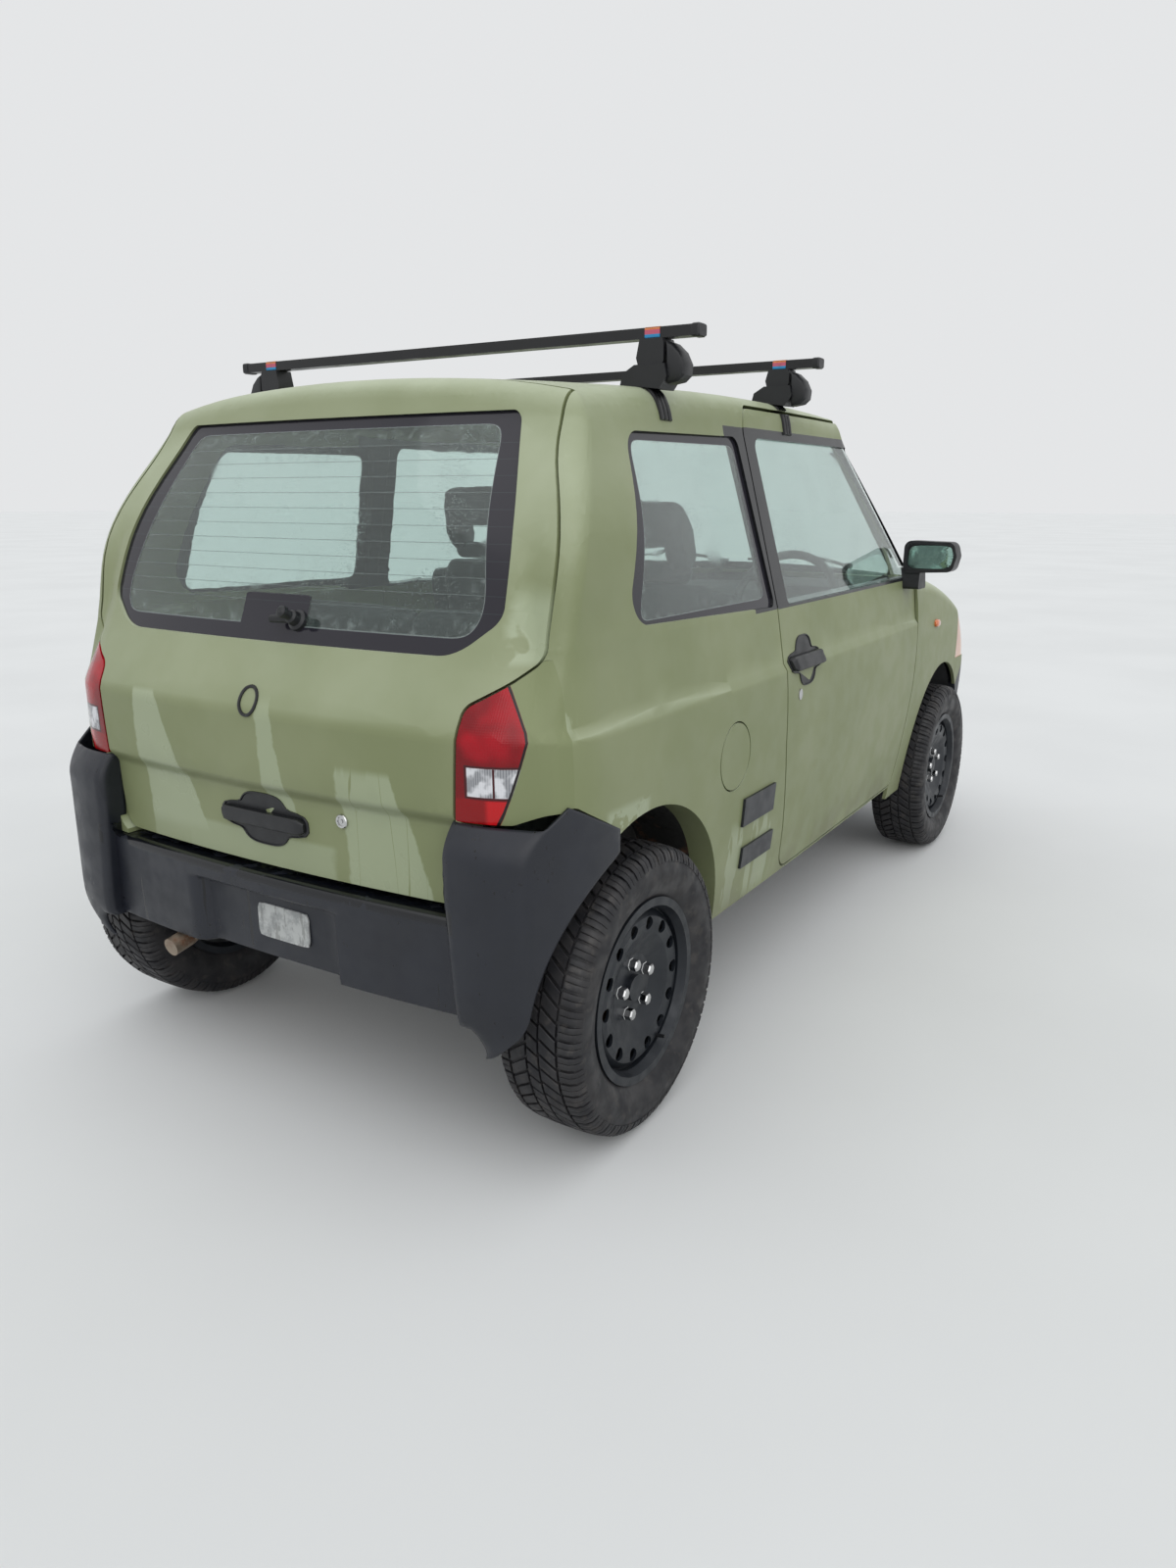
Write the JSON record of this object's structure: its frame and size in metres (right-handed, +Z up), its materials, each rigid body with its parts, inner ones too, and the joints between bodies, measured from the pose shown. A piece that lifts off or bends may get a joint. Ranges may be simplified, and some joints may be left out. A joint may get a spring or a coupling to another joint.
{
  "type": "kei car",
  "caption": "Small three-door hatchback van lifted on tall tyres, with opening doors, tailgate and bonnet, steered front wheels and roof bars.",
  "frame": {"origin": "on the ground, in the middle of the car's length and width, below the bounding box centre", "axes": "+X forward, +Y to the car's left, +Z up"},
  "size_m": [3.3945, 1.7222, 1.6839],
  "materials": {
    "paint_green": "matt sage green, faded, with water marks",
    "plastic_dark": "grained moulded plastic",
    "underbody": "sprayed underseal",
    "lamp_clear": "clear moulded lens",
    "lamp_red": "red moulded lens with a clear band",
    "glass": "slightly green window glass",
    "bar_black": "black powder coat",
    "interior_plastic": "grained dark grey",
    "seat_fabric": "woven grey cloth",
    "cast_metal": "as cast",
    "chassis_black": "dusty black paint",
    "exhaust_steel": "brown-grey, heat stained",
    "tyre": "matt black rubber",
    "wheel_black": "black paint"
  },
  "bodies": {
    "body": {"cowl_firewall": "plastic_dark", "dashboard": "interior_plastic", "engine_block": "cast_metal", "exhaust": "exhaust_steel", "fender_left": "paint_green", "fender_right": "paint_green", "floor_pan": "underbody", "front_arms": "chassis_black", "front_bumper": "plastic_dark", "front_liners": "plastic_dark", "front_seats": "seat_fabric", "front_structure": "underbody", "fuel_tank": "chassis_black", "grille": "plastic_dark", "headlamps": "lamp_clear", "propshaft": "chassis_black", "quarter_windows": "glass", "rack_feet": "plastic_dark", "radiator": "cast_metal", "rear_axle": "chassis_black", "rear_bench": "seat_fabric", "rear_bumper": "plastic_dark", "rear_suspension": "chassis_black", "roof_bars": "bar_black", "roof_panel": "paint_green", "side_frame_left": "paint_green", "side_frame_right": "paint_green", "side_vents": "plastic_dark", "tail_lamps": "lamp_red", "wheelhouses": "underbody", "windscreen": "glass"},
    "door_left": {"door_panel_left": "paint_green", "door_glass_left": "glass", "mirror_left": "plastic_dark", "door_handle_left": "plastic_dark"},
    "door_right": {"door_panel_right": "paint_green", "door_glass_right": "glass", "mirror_right": "plastic_dark", "door_handle_right": "plastic_dark"},
    "tailgate": {"tailgate_panel": "paint_green", "tailgate_glass": "glass", "tailgate_trim": "plastic_dark"},
    "bonnet": {"bonnet_panel": "paint_green"},
    "fuel_flap": {"fuel_lid": "paint_green"},
    "knuckle_left_body": {"knuckle_left": "chassis_black"},
    "knuckle_right_body": {"knuckle_right": "chassis_black"},
    "wheel_front_left": {"tyre_front_left": "tyre", "rim_front_left": "wheel_black"},
    "wheel_front_right": {"tyre_front_right": "tyre", "rim_front_right": "wheel_black"},
    "wheel_rear_left": {"tyre_rear_left": "tyre", "rim_rear_left": "wheel_black"},
    "wheel_rear_right": {"tyre_rear_right": "tyre", "rim_rear_right": "wheel_black"},
    "steering": {"steering_wheel": "interior_plastic"}
  },
  "joints": [
    {"name": "door_left_hinge", "type": "hinge", "parent": "body", "child": "door_left", "pos_m": [0.61, 0.726, 0.7], "axis": [0, 0, -1], "range_deg": [0, 65]},
    {"name": "door_right_hinge", "type": "hinge", "parent": "body", "child": "door_right", "pos_m": [0.61, -0.726, 0.7], "axis": [0, 0, 1], "range_deg": [0, 65]},
    {"name": "tailgate_hinge", "type": "hinge", "parent": "body", "child": "tailgate", "pos_m": [-1.275, 0, 1.538], "axis": [0, 1, 0], "range_deg": [0, 85]},
    {"name": "bonnet_hinge", "type": "hinge", "parent": "body", "child": "bonnet", "pos_m": [0.79, 0, 1.036], "axis": [0, -1, 0], "range_deg": [0, 50]},
    {"name": "fuel_flap_hinge", "type": "hinge", "parent": "body", "child": "fuel_flap", "pos_m": [-0.798, -0.7335, 0.751], "axis": [0, 0, 1], "range_deg": [0, 80]},
    {"name": "steer_left", "type": "hinge", "parent": "body", "child": "knuckle_left_body", "pos_m": [1.07, 0.585, 0.2], "axis": [0, -0.1756, 0.9845], "range_deg": [-33, 33]},
    {"name": "steer_right", "type": "hinge", "parent": "body", "child": "knuckle_right_body", "pos_m": [1.07, -0.585, 0.2], "axis": [0, 0.1756, 0.9845], "range_deg": [-33, 33]},
    {"name": "roll_front_left", "type": "hinge", "parent": "knuckle_left_body", "child": "wheel_front_left", "pos_m": [1.07, 0.65, 0.317], "axis": [0, 1, 0], "continuous": true},
    {"name": "roll_front_right", "type": "hinge", "parent": "knuckle_right_body", "child": "wheel_front_right", "pos_m": [1.07, -0.65, 0.317], "axis": [0, 1, 0], "continuous": true},
    {"name": "roll_rear_left", "type": "hinge", "parent": "body", "child": "wheel_rear_left", "pos_m": [-1.29, 0.65, 0.317], "axis": [0, 1, 0], "continuous": true},
    {"name": "roll_rear_right", "type": "hinge", "parent": "body", "child": "wheel_rear_right", "pos_m": [-1.29, -0.65, 0.317], "axis": [0, 1, 0], "continuous": true},
    {"name": "steering_wheel_turn", "type": "hinge", "parent": "body", "child": "steering", "pos_m": [0.335, -0.345, 0.985], "axis": [-0.9135, 0, 0.4067], "range_deg": [-540, 540]}
  ],
  "couplings": [
    {"joint": "steer_right", "follows": "steer_left", "ratio": 1},
    {"joint": "steering_wheel_turn", "follows": "steer_left", "ratio": 16}
  ]
}
